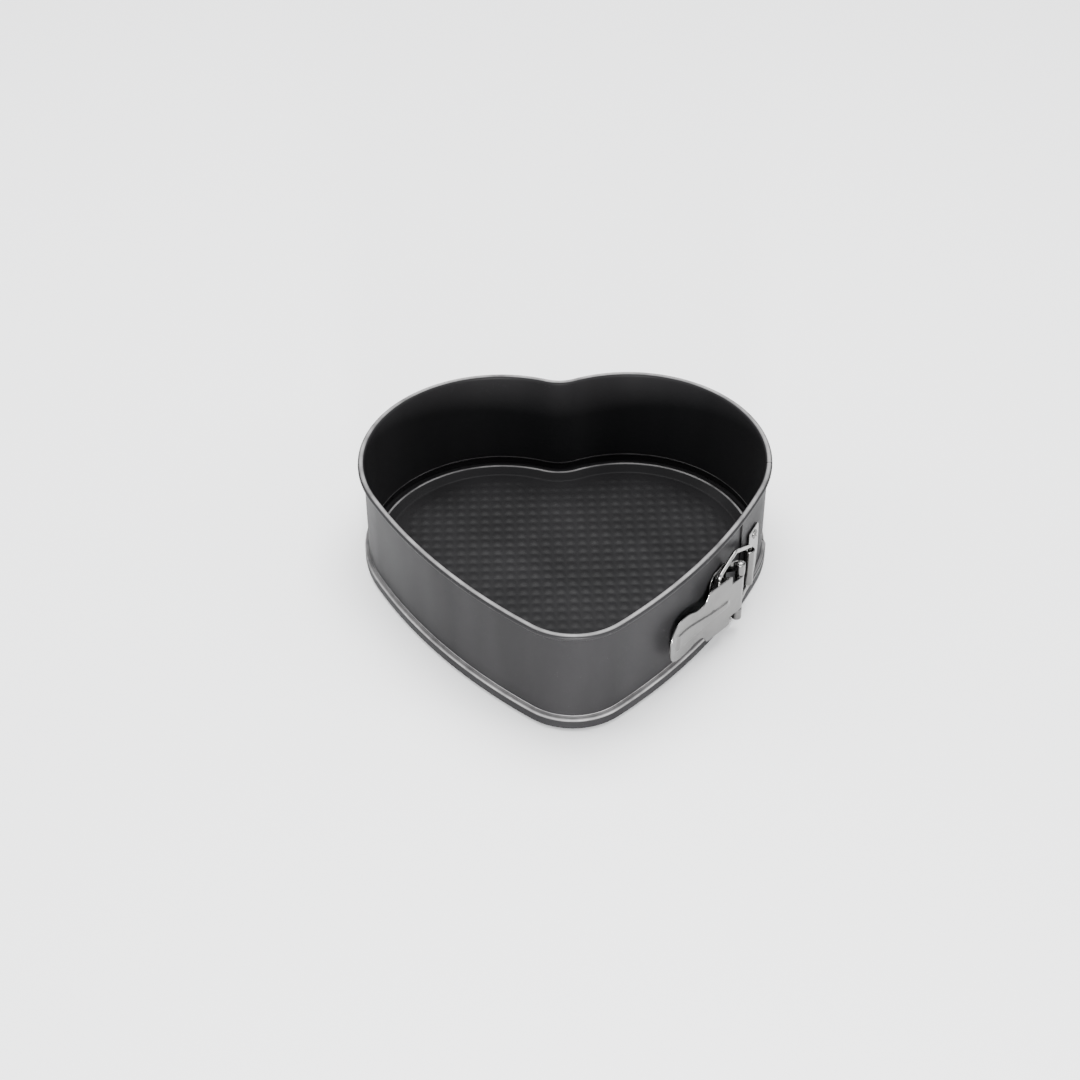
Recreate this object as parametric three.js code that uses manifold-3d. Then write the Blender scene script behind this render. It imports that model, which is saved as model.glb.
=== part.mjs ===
// Heart-shaped springform cake pan: a sprung steel band closed by an over-centre latch round a loose base.
// Millimetres, +Z up. Origin: middle of the base's flat underside, on which the pan stands.
// The heart's tip points to -Y, its notch to +Y; the latch is on the right-hand straight side.
import * as THREE from 'three';
import { mergeVertices } from 'three/addons/utils/BufferGeometryUtils.js';
import Module from 'manifold-3d';

// ---- driving dimensions -------------------------------------------------------------------------
const LOBE_X = 38, LOBE_R = 77;        // each lobe's centre from the middle, and its radius
const NOTCH_R = 24;                    // hollow between the lobes
const SIDE_R = 324;                    // gently bowed sides
const TIP_R = 35, TIP_DROP = 114;      // rounded tip, and its centre's distance below the lobe centres
const HEIGHT = 69.5;                   // floor to top of rim
const SHEET = 0.6;                     // band sheet
const NEST = 0.3;                      // gap between overlapping or touching pieces
const RIM_R = 1.6;                     // centreline radius of the rolled rim
const LEDGE_Z = 8, CHANNEL = 2.5;      // bottom channel: height of its ledge, and how far it stands out
const LIP_Z = 1.5, LIP_IN = 1.2;       // channel's inturned lip: height, and reach inside the wall face
const NOTCH_CUT = 0.5;                 // cut between the band's two rigid halves
const BASE_SHEET = 0.8, RIDGE_Z = 4.6; // base tray: sheet, and height of its rim ridge
const BUMP_PITCH = 7.2, BUMP_H = 0.9;  // raised pattern on the tray floor
const BUMP_INSET = 14;                 // from the band wall to the pattern

const LATCH_S = 41;                    // hinge pin, measured along the side from the end of the lobe
const LATCH_Z = 1;                     // lower edge of the hinge bracket above the channel's ledge
const PLATE = 1;                       // latch sheet
const PIN_OUT = 8.5, PIN_R = 1.4;      // hinge pin: distance out from the wall, and radius
const PIN_PLAY = 0.1, KNUCKLE_R = 2.75; // pin's running clearance, and outer radius of the knuckles
const KNUCKLE_IN = 12.2, KNUCKLE_TOP = 20.2; // half heights of the lever's knuckle and of the bracket
const LEVER_LEAN = 12;                 // degrees that the closed lever leans towards the band
const LEVER_LENGTH = 63, SHOULDER = 18, NECK = 11.5, SPOON = 14;
const WIRE_U = 17, WIRE_OUT = 4.4;     // wire holes in the lever's ears, from the hinge pin and the wall
const WIRE_R = 1.2, WIRE_SPREAD = 5;     // bail wire radius, and how far it bows out past the bracket
const OUTER_END = 16.5, INNER_END = 65; // ends of the overlapping band, from the hinge pin
const CATCH_U = 31, CATCH_R = 3.1, CATCH_PLAY = 0.9, CATCH_HALF = 12.5; // catch barrel round the wire
const RIVET_R = 1.6, STAR_R = 2.9;

// What runs in or stands clear of another piece follows it.
const BORE_R = PIN_R + PIN_PLAY, CATCH_BORE = WIRE_R + CATCH_PLAY, WIRE_HOLE = WIRE_R + NEST;
const LATCH_MID = LEDGE_Z + LATCH_Z + KNUCKLE_TOP;

const wasm = await Module();
wasm.setup();
const rad = THREE.MathUtils.degToRad;
const V2 = (x, y) => new THREE.Vector2(x, y);

// ---- solids -------------------------------------------------------------------------------------
function solid(geometry) {
  const g = geometry.clone();
  for (const name of Object.keys(g.attributes)) if (name !== 'position') g.deleteAttribute(name);
  const m = mergeVertices(g, 1e-4);
  return new wasm.Manifold(new wasm.Mesh({
    numProp: 3,
    vertProperties: new Float32Array(m.attributes.position.array),
    triVerts: new Uint32Array(m.index.array),
  }));
}

function geometryOf(manifold) {
  const mesh = manifold.getMesh();
  const g = new THREE.BufferGeometry();
  g.setAttribute('position', new THREE.BufferAttribute(new Float32Array(mesh.vertProperties), 3));
  g.setIndex([...mesh.triVerts]);
  g.computeVertexNormals();
  return g;
}

// Straight prism of a closed outline; the outline lies in XY and runs from z0 to z1.
function prism(outline, z0, z1, holes = []) {
  const shape = new THREE.Shape(outline);
  shape.holes = holes.map((h) => new THREE.Path(h));
  const g = new THREE.ExtrudeGeometry(shape, { depth: z1 - z0, bevelEnabled: false, curveSegments: 12 });
  return g.translate(0, 0, z0);
}

// The same, with the outline drawn in XZ and the prism running from y0 to y1.
const prismY = (outline, y0, y1) => prism(outline, -y1, -y0).rotateX(Math.PI / 2);

function circle(x, y, r, n = 24) {
  return Array.from({ length: n }, (_, i) => {
    const a = (2 * Math.PI * i) / n;
    return V2(x + r * Math.cos(a), y + r * Math.sin(a));
  });
}

// Points of an arc given in degrees, in n steps.
function arc(x, y, r, a0, a1, n) {
  return Array.from({ length: n + 1 }, (_, i) => {
    const a = rad(a0 + ((a1 - a0) * i) / n);
    return V2(x + r * Math.cos(a), y + r * Math.sin(a));
  });
}

// Closed outline of a bent sheet of thickness t round its centreline.
function thicken(line, t) {
  const side = (sign) => line.map((p, i) => {
    const a = line[Math.max(i - 1, 0)], b = line[Math.min(i + 1, line.length - 1)];
    const d0 = p.clone().sub(a).normalize(), d1 = b.clone().sub(p).normalize();
    if (i === 0) d0.copy(d1);
    if (i === line.length - 1) d1.copy(d0);
    const m = d0.clone().add(d1).normalize();
    const k = (sign * t) / 2 / Math.max(m.dot(d0), 0.5);
    return V2(p.x - m.y * k, p.y + m.x * k);
  });
  return [...side(-1), ...side(1).reverse()];
}

// ---- heart outline ------------------------------------------------------------------------------
// Right half as tangent arcs from the notch, round the lobe and down the side to the tip.
const LOBE_Y = (TIP_DROP + TIP_R - LOBE_R) / 2; // centres the heart's depth on the origin
const HALF = (() => {
  const lobe = V2(LOBE_X, LOBE_Y), tip = V2(0, LOBE_Y - TIP_DROP);
  const notch = V2(0, LOBE_Y + Math.sqrt((NOTCH_R + LOBE_R) ** 2 - LOBE_X ** 2));
  const gap = lobe.distanceTo(tip), r1 = SIDE_R - LOBE_R, r2 = SIDE_R - TIP_R;
  const x = (gap ** 2 + r2 ** 2 - r1 ** 2) / (2 * gap), h = Math.sqrt(r2 ** 2 - x ** 2);
  const u = lobe.clone().sub(tip).divideScalar(gap);
  const side = tip.clone().addScaledVector(u, x).addScaledVector(V2(-u.y, u.x), h);
  const angle = (c, p) => Math.atan2(p.y - c.y, p.x - c.x);
  const parts = [
    { c: notch, r: NOTCH_R, sign: -1, a0: -Math.PI / 2, a1: angle(notch, lobe), steps: 4 },
    { c: lobe, r: LOBE_R, sign: 1, a0: angle(lobe, notch), a1: angle(side, lobe), steps: 20 },
    { c: side, r: SIDE_R, sign: 1, a0: angle(side, lobe), a1: angle(side, tip), steps: 7 },
    { c: tip, r: TIP_R, sign: 1, a0: angle(side, tip), a1: -Math.PI / 2, steps: 4 },
  ];
  let s = 0;
  for (const p of parts) {
    p.s0 = s;
    p.length = p.r * Math.abs(p.a1 - p.a0);
    s += p.length;
  }
  return { parts, length: s };
})();
const LOOP = 2 * HALF.length;
const HINGE_S = HALF.parts[2].s0 + LATCH_S;

// Wall point at arc length s from the notch (clockwise seen from above), with its outward normal.
function wallAt(s) {
  let t = ((s % LOOP) + LOOP) % LOOP;
  const left = t > HALF.length;
  if (left) t = LOOP - t;
  const part = HALF.parts.find((p) => t <= p.s0 + p.length + 1e-9) ?? HALF.parts.at(-1);
  const a = part.a0 + ((part.a1 - part.a0) * (t - part.s0)) / part.length;
  const n = V2(Math.cos(a) * part.sign, Math.sin(a) * part.sign);
  const p = V2(part.c.x + part.r * Math.cos(a), part.c.y + part.r * Math.sin(a));
  if (left) { n.x *= -1; p.x *= -1; }
  return { p, n };
}

// Arc lengths at which the wall is drawn between s0 and s1, at most two sheets apart from the arc.
function stations(s0, s1, extra = []) {
  const all = [s0, s1, ...extra.filter((s) => s > s0 && s < s1)];
  for (let half = 0; half < 2; half++) {
    for (const p of HALF.parts) {
      for (let i = 0; i <= p.steps; i++) {
        const s = p.s0 + (p.length * i) / p.steps;
        all.push(half ? LOOP - s : s);
      }
    }
  }
  const kept = all.filter((s) => s >= s0 && s <= s1).sort((a, b) => a - b);
  return kept.filter((s, i) => i === 0 || s - kept[i - 1] > 0.05);
}

// Solid swept along the wall: profile(s) gives a closed outline of (outward offset, height).
function sweep(list, profile, closed = false) {
  const position = [], index = [];
  const rings = list.map((s) => {
    const { p, n } = wallAt(s);
    return profile(s).map((q) => {
      position.push(p.x + n.x * q.x, p.y + n.y * q.x, q.y);
      return position.length / 3 - 1;
    });
  });
  const count = rings.length, m = rings[0].length;
  for (let i = 0; i < (closed ? count : count - 1); i++) {
    const a = rings[i], b = rings[(i + 1) % count];
    for (let j = 0; j < m; j++) {
      const k = (j + 1) % m;
      index.push(a[j], b[k], b[j], a[j], a[k], b[k]);
    }
  }
  if (!closed) {
    const cap = (ring, s, flip) => {
      for (const [a, b, c] of THREE.ShapeUtils.triangulateShape(profile(s), [])) {
        index.push(ring[a], ring[flip ? c : b], ring[flip ? b : c]);
      }
    };
    cap(rings[0], list[0], true);
    cap(rings.at(-1), list.at(-1), false);
  }
  const g = new THREE.BufferGeometry();
  g.setAttribute('position', new THREE.Float32BufferAttribute(position, 3));
  g.setIndex(index);
  return g;
}

const heart = (offset, from = 0) => stations(from, from + LOOP - 0.1).map((s) => {
  const { p, n } = wallAt(s);
  return p.addScaledVector(n, offset);
}).reverse();

// ---- band ---------------------------------------------------------------------------------------
// Section: rolled rim, wall, ledge, channel and lip; grow moves the sheet below the rim outwards to nest
// over another.
const LAP_TOP = HEIGHT - SHEET - 2 * RIM_R - 1.8;
function bandSection(grow) {
  const wall = -SHEET / 2 + grow, bend = 1, foot = LIP_Z - grow, out = wall + CHANNEL;
  const ledge = LEDGE_Z + grow;
  return thicken([
    ...arc(RIM_R - SHEET / 2, HEIGHT - SHEET / 2 - RIM_R, RIM_R, -115, 180, 6),
    V2(-SHEET / 2, LAP_TOP + 1.5), V2(wall, LAP_TOP),
    ...arc(wall + bend, ledge + bend, bend, 180, 270, 2),
    ...arc(out - bend, ledge - bend, bend, 90, 0, 2),
    ...arc(out - bend, foot + bend, bend, 0, -90, 2),
    V2(-LIP_IN, foot),
  ], SHEET);
}

const LAP = SHEET + NEST;                // how far the outer end stands out over the inner end
const JOG = 5;                           // length of its joggle
const lapAt = (s) => {
  const t = (s - (HINGE_S - INNER_END - JOG - 1)) / JOG;
  return LAP * THREE.MathUtils.smoothstep(t, 0, 1);
};
const jogStations = [0, 0.25, 0.5, 0.75, 1].map((t) => HINGE_S - INNER_END - JOG - 1 + JOG * t);

const bandMainSolid = solid(sweep(stations(HINGE_S - INNER_END, LOOP - NOTCH_CUT / 2), () => bandSection(0)));
const rimCut = [V2(-3, LAP_TOP), V2(8, LAP_TOP), V2(8, HEIGHT + 2), V2(-3, HEIGHT + 2)];
const bandSpringSolid = solid(sweep(stations(NOTCH_CUT / 2, HINGE_S - OUTER_END, jogStations),
  (s) => bandSection(lapAt(s))))
  .subtract(solid(sweep(stations(HINGE_S - INNER_END - 0.5, HINGE_S), () => rimCut)));

// ---- base tray ----------------------------------------------------------------------------------
const half = BASE_SHEET / 2;
const traySection = thicken([
  V2(-11.5, half), V2(-9, half), V2(-8, half + 0.5), V2(-5.3, RIDGE_Z - half - 0.7), V2(-4.2, RIDGE_Z - half),
  V2(-3.2, RIDGE_Z - half - 0.2), V2(-1.7, LIP_Z + 1.15),
  V2(CHANNEL - SHEET - 0.7, LIP_Z + 1.15),
], BASE_SHEET - 0.04);
const loopStations = stations(0, LOOP - 0.1);

function bumpField() {
  const nx = Math.ceil((LOBE_X + LOBE_R) / BUMP_PITCH) + 1;
  const ny = Math.ceil((TIP_DROP + TIP_R + LOBE_R) / 2 / BUMP_PITCH) + 1;
  const position = [], index = [], at = new Map();
  const base = BASE_SHEET + 0.04, low = BASE_SHEET / 2;
  const vertex = (x, y, z) => {
    const key = `${x},${y},${z}`;
    if (!at.has(key)) {
      at.set(key, position.length / 3);
      position.push(x * BUMP_PITCH, y * BUMP_PITCH, z);
    }
    return at.get(key);
  };
  for (let i = -nx; i < nx; i++) {
    for (let j = -ny; j < ny; j++) {
      const c = vertex(i + 0.5, j + 0.5, base + BUMP_H);
      const q = [[i, j], [i + 1, j], [i + 1, j + 1], [i, j + 1]];
      q.forEach(([x, y], k) => {
        const [x2, y2] = q[(k + 1) % 4];
        index.push(vertex(x, y, base), vertex(x2, y2, base), c);
      });
      const [a, b, e, f] = q.map(([x, y]) => vertex(x, y, low));
      index.push(a, e, b, a, f, e);
    }
  }
  const wall = (x, y, x2, y2) => index.push(
    vertex(x, y, low), vertex(x2, y2, low), vertex(x2, y2, base),
    vertex(x, y, low), vertex(x2, y2, base), vertex(x, y, base));
  for (let i = -nx; i < nx; i++) { wall(i, -ny, i + 1, -ny); wall(i + 1, ny, i, ny); }
  for (let j = -ny; j < ny; j++) { wall(nx, j, nx, j + 1); wall(-nx, j + 1, -nx, j); }
  const g = new THREE.BufferGeometry();
  g.setAttribute('position', new THREE.Float32BufferAttribute(position, 3));
  g.setIndex(index);
  return g;
}

const bumps = solid(bumpField()).intersect(solid(prism(heart(-BUMP_INSET), 0.1, 4)));
const baseSolid = solid(sweep(loopStations, () => traySection, true))
  .add(solid(prism(heart(-9.4), 0, BASE_SHEET)))
  .add(bumps);

// ---- latch --------------------------------------------------------------------------------------
// Frames on the wall: X along the band towards the tip, Y straight out from the wall, Z up.
function frameOnWall(s, offset) {
  const { p, n } = wallAt(s);
  const group = new THREE.Group();
  group.position.set(p.x + n.x * offset, p.y + n.y * offset, LATCH_MID);
  group.rotation.z = Math.atan2(n.y, n.x) - Math.PI / 2;
  group.updateMatrixWorld(true);
  return group;
}
const hingeFrame = frameOnWall(HINGE_S, 0);
const catchFrame = frameOnWall(HINGE_S - CATCH_U, LAP);
const CATCH_X = CATCH_U - 20.8, CATCH_Y = NEST + CATCH_R;

const mirrored = (pts) => [...pts, ...pts.map((p) => V2(p.x, -p.y)).reverse()];
const rod = (x, y, r, z0, z1, n = 24) => solid(prism(circle(x, y, r, n), z0, z1));
const bored = (body, x, y, r) => body.subtract(rod(x, y, r, -40, 40));
// Bent sheet: a centreline in XY raised over +-h, trimmed to an outline in XZ.
const sheet = (line, h, outline) => solid(prism(thicken(line, PLATE), -h, h))
  .intersect(solid(prismY(outline, -20, 40)));

// Hinge bracket: plate on the band, a leg rising at 45 degrees, and two knuckles round the pin.
const knuckleMid = KNUCKLE_R - PLATE / 2, plateY = NEST + PLATE / 2, reach = PIN_OUT - knuckleMid * Math.SQRT1_2;
const legX = -knuckleMid * Math.SQRT1_2 + (reach - plateY);
const BRACKET_END = 20.5, BRACKET_RIVET = 13, RIVET_Z = 14;
const bracketLine = [
  V2(-knuckleMid * Math.SQRT1_2, reach), V2(legX - 0.7, plateY + 0.7), V2(legX + 0.7, plateY),
  V2(BRACKET_END, plateY - 0.5),
];
const bracketOutline = mirrored([
  V2(-4, KNUCKLE_TOP), V2(15, KNUCKLE_TOP), V2(18, KNUCKLE_TOP - 1.2), V2(BRACKET_END - 0.6, KNUCKLE_TOP - 6),
  V2(BRACKET_END, KNUCKLE_TOP - 10),
]);
const plateSlope = 0.5 / (BRACKET_END - legX - 0.7);
let bracket = sheet(bracketLine, KNUCKLE_TOP + 1, bracketOutline)
  .add(rod(0, PIN_OUT, KNUCKLE_R, -KNUCKLE_TOP, KNUCKLE_TOP))
  .subtract(solid(prism([V2(-5, 2), V2(9, 2), V2(9, 20), V2(-5, 20)], -KNUCKLE_IN - 0.5, KNUCKLE_IN + 0.5)));
bracket = bored(bracket, 0, PIN_OUT, BORE_R);

// Hinge pin with a small formed head at each end.
const pinTop = KNUCKLE_TOP + 0.2, pinHead = PIN_R + 0.6;
const hingePin = new THREE.LatheGeometry([
  V2(0, -pinTop - 0.6), V2(pinHead - 0.5, -pinTop - 0.6), V2(pinHead, -pinTop - 0.3), V2(pinHead, -pinTop),
  V2(PIN_R, -pinTop), V2(PIN_R, pinTop), V2(pinHead, pinTop), V2(pinHead, pinTop + 0.3),
  V2(pinHead - 0.5, pinTop + 0.6), V2(0, pinTop + 0.6),
], 24).rotateX(Math.PI / 2);

// Lever: knuckle, plate with a shoulder and a spoon, two ears with the wire holes, and a raised bead.
const lean = rad(-LEVER_LEAN);
const leverStart = V2(-knuckleMid * Math.sin(lean), PIN_OUT + knuckleMid * Math.cos(lean));
const leverPlate = (x) => leverStart.y + (x - leverStart.x) * Math.tan(lean);
const bendX = LEVER_LENGTH * 0.62, endY = leverPlate(bendX) - 2.6;
const spoonCurve = new THREE.CubicBezierCurve(
  V2(bendX, leverPlate(bendX)), V2(bendX + 7, leverPlate(bendX + 7)),
  V2(LEVER_LENGTH - 9, endY - 0.6), V2(LEVER_LENGTH + 1, endY + 0.3));
const leverLine = [leverStart, ...spoonCurve.getPoints(9)];
const shoulder0 = 10, shoulder1 = 29.5, neckX = 35;
const leverOutline = mirrored([
  V2(-1, KNUCKLE_IN), V2(shoulder0, KNUCKLE_IN), V2(shoulder0, SHOULDER),
  ...arc(shoulder1 - 1.5, SHOULDER - 1.5, 1.5, 90, 20, 2),
  ...arc(neckX + 0.5, NECK + 5, 5, 200, 270, 4),
  ...new THREE.CubicBezierCurve(V2(neckX + 2, NECK), V2(neckX + 9, NECK + 0.6), V2(LEVER_LENGTH - 22, SPOON),
    V2(LEVER_LENGTH - 14, SPOON)).getPoints(4).slice(1),
  ...arc(LEVER_LENGTH - 12, SPOON - 10, 10, 80, 0, 5),
  V2(LEVER_LENGTH, 3),
].map((p) => V2(Math.min(p.x, LEVER_LENGTH), p.y)));
const beadLine = leverLine.map((p, i) => {
  const q = leverLine[Math.min(i + 1, leverLine.length - 1)], o = leverLine[Math.max(i - 1, 0)];
  const d = q.clone().sub(o).normalize();
  return V2(p.x - d.y * 0.6, p.y + d.x * 0.6);
});
const stadium = (x0, x1, r) => [...arc(x1, 0, r, -90, 90, 8), ...arc(x0, 0, r, 90, 270, 8)];
const earTop = (x) => V2(x, leverPlate(x));
const ear = [earTop(shoulder0 + 1), ...arc(WIRE_U, WIRE_OUT, 2.8, 205, 335, 6), earTop(shoulder1 - 2)];
let lever = sheet(leverLine, SHOULDER + 1, leverOutline)
  .add(rod(0, PIN_OUT, KNUCKLE_R, -KNUCKLE_IN, KNUCKLE_IN))
  .add(sheet(beadLine, 6, stadium(14, LEVER_LENGTH - 9, 3.4)));
for (const side of [-1, 1]) {
  const z0 = side > 0 ? SHOULDER - PLATE : -SHOULDER;
  lever = lever.add(solid(prism(ear, z0, z0 + PLATE)));
}
lever = bored(bored(lever, 0, PIN_OUT, BORE_R), WIRE_U, WIRE_OUT, WIRE_HOLE);

// Catch plate: a rolled barrel that holds the wire, and a plate riveted to the band's outer end.
const catchHalf = KNUCKLE_TOP - 1.4, catchRivetX = -2.2, catchRivetZ = 13.5;
const catchPlate = bored(
  sheet([V2(CATCH_X, plateY), V2(-9, plateY)], catchHalf + 1, mirrored([
    V2(CATCH_X + 1, CATCH_HALF), V2(6.2, CATCH_HALF), V2(6.2, catchHalf), V2(-6.2, catchHalf),
    V2(-7.4, catchHalf - 1.2), V2(-8.4, catchHalf - 10), V2(-8.8, 0.5),
  ])).add(rod(CATCH_X, CATCH_Y, CATCH_R, -CATCH_HALF, CATCH_HALF)),
  CATCH_X, CATCH_Y, CATCH_BORE);

// Rivets: a plain shank, and a star of six petals clinched over the plate.
const rivetHoles = [];
function rivet(frame, x, z, y, material, name) {
  const star = Array.from({ length: 24 }, (_, i) => {
    const a = (i * Math.PI) / 12, r = STAR_R - (i % 4 === 2 ? 0.9 : i % 2 ? 0.3 : 0);
    return V2(r * Math.cos(a), r * Math.sin(a));
  });
  const inside = 0.45 - SHEET, top = y + PLATE / 2 + 0.2;
  const body = solid(prism(circle(0, 0, RIVET_R, 16), inside, top + 0.4))
    .add(solid(prism(star, top, top + 0.5)))
    .add(solid(prism(circle(0, 0, STAR_R * 0.55, 16), top, top + 1)));
  const mesh = add(frame, name, geometryOf(body).rotateX(-Math.PI / 2), material);
  mesh.position.set(x, 0, z);
}

// ---- assembly -----------------------------------------------------------------------------------
const coating = new THREE.MeshStandardMaterial({ color: 0x242325, roughness: 0.42, metalness: 0.35 });
const plated = new THREE.MeshStandardMaterial({ color: 0xc9c9c6, roughness: 0.22, metalness: 1 });
const wireMetal = new THREE.MeshStandardMaterial({ color: 0xb9b9b6, roughness: 0.3, metalness: 1 });
const pan = new THREE.Group();
pan.add(hingeFrame, catchFrame);

function add(parent, name, geometry, material) {
  const mesh = new THREE.Mesh(geometry, material.clone());
  mesh.name = name;
  parent.add(mesh);
  return mesh;
}

// Hole through a plate or the band behind it, at (x, z) in a wall frame.
const holeAt = (frame, x, z, inWorld) => {
  const g = prism(circle(0, 0, RIVET_R + NEST, 16), -4, 4).rotateX(-Math.PI / 2).translate(x, 0, z);
  return solid(inWorld ? g.applyMatrix4(frame.matrixWorld) : g);
};
let bandMain = bandMainSolid, bandSpring = bandSpringSolid, bracketCut = bracket, catchCut = catchPlate;
for (const side of [-1, 1]) {
  bandMain = bandMain.subtract(holeAt(hingeFrame, BRACKET_RIVET, side * RIVET_Z, true));
  bracketCut = bracketCut.subtract(holeAt(hingeFrame, BRACKET_RIVET, side * RIVET_Z, false));
  bandSpring = bandSpring.subtract(holeAt(catchFrame, catchRivetX, side * catchRivetZ, true));
  catchCut = catchCut.subtract(holeAt(catchFrame, catchRivetX, side * catchRivetZ, false));
}

add(pan, 'base_plate', geometryOf(baseSolid), coating);
add(pan, 'band_main', geometryOf(bandMain), coating);
add(pan, 'band_spring', geometryOf(bandSpring), coating);
add(hingeFrame, 'hinge_bracket', geometryOf(bracketCut), plated);
add(hingeFrame, 'hinge_pin', hingePin, wireMetal).position.y = PIN_OUT;
add(hingeFrame, 'latch_lever', geometryOf(lever), plated);
add(catchFrame, 'catch_plate', geometryOf(catchCut), plated);
for (const [side, name] of [[1, 'top'], [-1, 'bottom']]) {
  const sag = plateY - plateSlope * (BRACKET_RIVET - legX);
  rivet(hingeFrame, BRACKET_RIVET, side * RIVET_Z, sag, plated, `bracket_rivet_${name}`);
  rivet(catchFrame, catchRivetX, side * catchRivetZ, plateY, plated, `catch_rivet_${name}`);
}

// ---- wire bail ----------------------------------------------------------------------------------
// A bent wire loop in one plane, from the catch barrel's axis to the lever's ears.
const catchAxis = hingeFrame.worldToLocal(catchFrame.localToWorld(new THREE.Vector3(CATCH_X, CATCH_Y, 0)));
const bailReach = Math.hypot(WIRE_U - catchAxis.x, WIRE_OUT - catchAxis.y);
function roundedPath(corners, radius, steps) {
  const out = [corners[0]];
  for (let i = 1; i < corners.length - 1; i++) {
    const p = corners[i];
    const a = corners[i - 1].clone().sub(p).normalize(), b = corners[i + 1].clone().sub(p).normalize();
    const cut = radius / Math.tan(Math.acos(a.dot(b)) / 2);
    const curve = new THREE.QuadraticBezierCurve(p.clone().addScaledVector(a, cut), p,
      p.clone().addScaledVector(b, cut));
    out.push(...curve.getPoints(steps));
  }
  return [...out, corners.at(-1)];
}
function wire(path, r, sides) {
  const position = [], index = [];
  path.forEach((p, i) => {
    const d = path[Math.min(i + 1, path.length - 1)].clone().sub(path[Math.max(i - 1, 0)]).normalize();
    for (let k = 0; k < sides; k++) {
      const a = (2 * Math.PI * k) / sides, c = r * Math.cos(a);
      position.push(p.x - d.y * c, r * Math.sin(a), p.y + d.x * c);
    }
    if (i) {
      for (let k = 0; k < sides; k++) {
        const a = (i - 1) * sides + k, b = (i - 1) * sides + ((k + 1) % sides);
        index.push(a, b + sides, b, a, a + sides, b + sides);
      }
    }
  });
  const last = (path.length - 1) * sides;
  for (let k = 1; k < sides - 1; k++) index.push(0, k, k + 1, last, last + k + 1, last + k);
  const g = new THREE.BufferGeometry();
  g.setAttribute('position', new THREE.Float32BufferAttribute(position, 3));
  g.setIndex(index);
  return g;
}
const earFace = SHOULDER + NEST, wireBend = 2.2;
const halfLoop = [V2(bailReach, earFace), V2(bailReach, earFace + wireBend + 0.6), V2(19.5, KNUCKLE_TOP + WIRE_SPREAD),
  V2(0, CATCH_HALF + 2.2)];
const loop = [...halfLoop, ...halfLoop.map((p) => V2(p.x, -p.y)).reverse()];
const bail = add(hingeFrame, 'wire_bail', wire(roundedPath(loop, wireBend, 4), WIRE_R, 10), wireMetal);
bail.position.set(catchAxis.x, catchAxis.y, 0);
bail.rotation.z = Math.atan2(WIRE_OUT - catchAxis.y, WIRE_U - catchAxis.x);

export default pan;
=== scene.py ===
"""Heart-shaped springform cake pan: a coated steel band and tray with a plated over-centre latch.

Every surface is a numpy grid: a section carried along a path, or a height over a grid. Sizes are in
millimetres inside the shape functions and become metres when a mesh is made.
"""

import bpy
import numpy as np
from mathutils import Matrix, Vector


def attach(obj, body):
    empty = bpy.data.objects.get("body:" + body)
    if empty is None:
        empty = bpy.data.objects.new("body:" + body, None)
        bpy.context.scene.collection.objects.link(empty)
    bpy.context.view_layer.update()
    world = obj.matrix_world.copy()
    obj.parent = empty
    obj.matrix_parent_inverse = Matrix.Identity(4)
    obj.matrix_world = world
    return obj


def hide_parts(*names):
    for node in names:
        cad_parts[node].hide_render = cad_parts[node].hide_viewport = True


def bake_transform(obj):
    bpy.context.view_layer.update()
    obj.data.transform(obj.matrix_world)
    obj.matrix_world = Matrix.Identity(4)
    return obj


bl_info = {
    "name": "Springform Pan",
    "version": (1, 0, 0),
    "blender": (4, 5, 0),
    "location": "View3D > Sidebar > Springform Pan",
    "description": "Builds a heart-shaped springform pan with its latch, and a studio round it",
    "category": "Object",
}

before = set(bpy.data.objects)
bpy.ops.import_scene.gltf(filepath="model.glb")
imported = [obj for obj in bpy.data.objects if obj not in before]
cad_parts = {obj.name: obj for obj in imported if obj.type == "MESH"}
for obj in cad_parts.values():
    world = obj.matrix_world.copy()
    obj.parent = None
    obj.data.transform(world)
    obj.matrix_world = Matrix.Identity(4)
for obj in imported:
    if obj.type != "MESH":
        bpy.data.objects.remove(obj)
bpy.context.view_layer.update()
MM = 0.001


# ---- sizes and finishes -------------------------------------------------------------------------
def length(name, text, value):
    """A length property in metres, given in millimetres."""
    return bpy.props.FloatProperty(name=name, description=text, default=value * MM, unit="LENGTH", precision=5)


def shade(name, text, rgb):
    """A linear colour property."""
    return bpy.props.FloatVectorProperty(name=name, description=text, default=rgb, subtype="COLOR", size=3,
                                         min=0.0, max=1.0)


class PanSizes(bpy.types.PropertyGroup):
    """Sizes of the pan's wall, tray and latch."""
    lobe_x: length("Lobe spacing", "Each lobe's centre from the middle of the heart", 38)
    lobe_r: length("Lobe radius", "Radius of the two lobes", 77)
    notch_r: length("Notch radius", "Radius of the hollow between the lobes", 24)
    side_r: length("Side radius", "Radius of the gently bowed sides", 324)
    tip_r: length("Tip radius", "Radius of the rounded tip", 35)
    tip_drop: length("Tip drop", "Tip centre's distance below the lobe centres", 114)
    height: length("Height", "Floor to top of rim", 69.5)
    sheet: length("Band sheet", "Thickness of the band", 0.6)
    rim_r: length("Rim radius", "Centreline radius of the rolled rim", 1.6)
    ledge_z: length("Ledge height", "Height of the ledge over the bottom channel", 8)
    channel: length("Channel depth", "How far the channel stands out from the wall", 2.5)
    tray_sheet: length("Tray sheet", "Thickness of the tray", 0.8)
    ridge_z: length("Ridge height", "Height of the tray's rim ridge", 4.6)
    bump_pitch: length("Bump pitch", "Spacing of the raised pattern on the tray", 7.2)
    bump_height: length("Bump height", "Height of the raised pattern", 0.6)
    bump_inset: length("Bump inset", "Plain border between the wall and the pattern", 14)
    latch_s: length("Latch place", "Hinge pin's distance along the side from the end of the lobe", 41)
    latch_z: length("Latch height", "Middle of the latch above the floor", 29.2)


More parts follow.
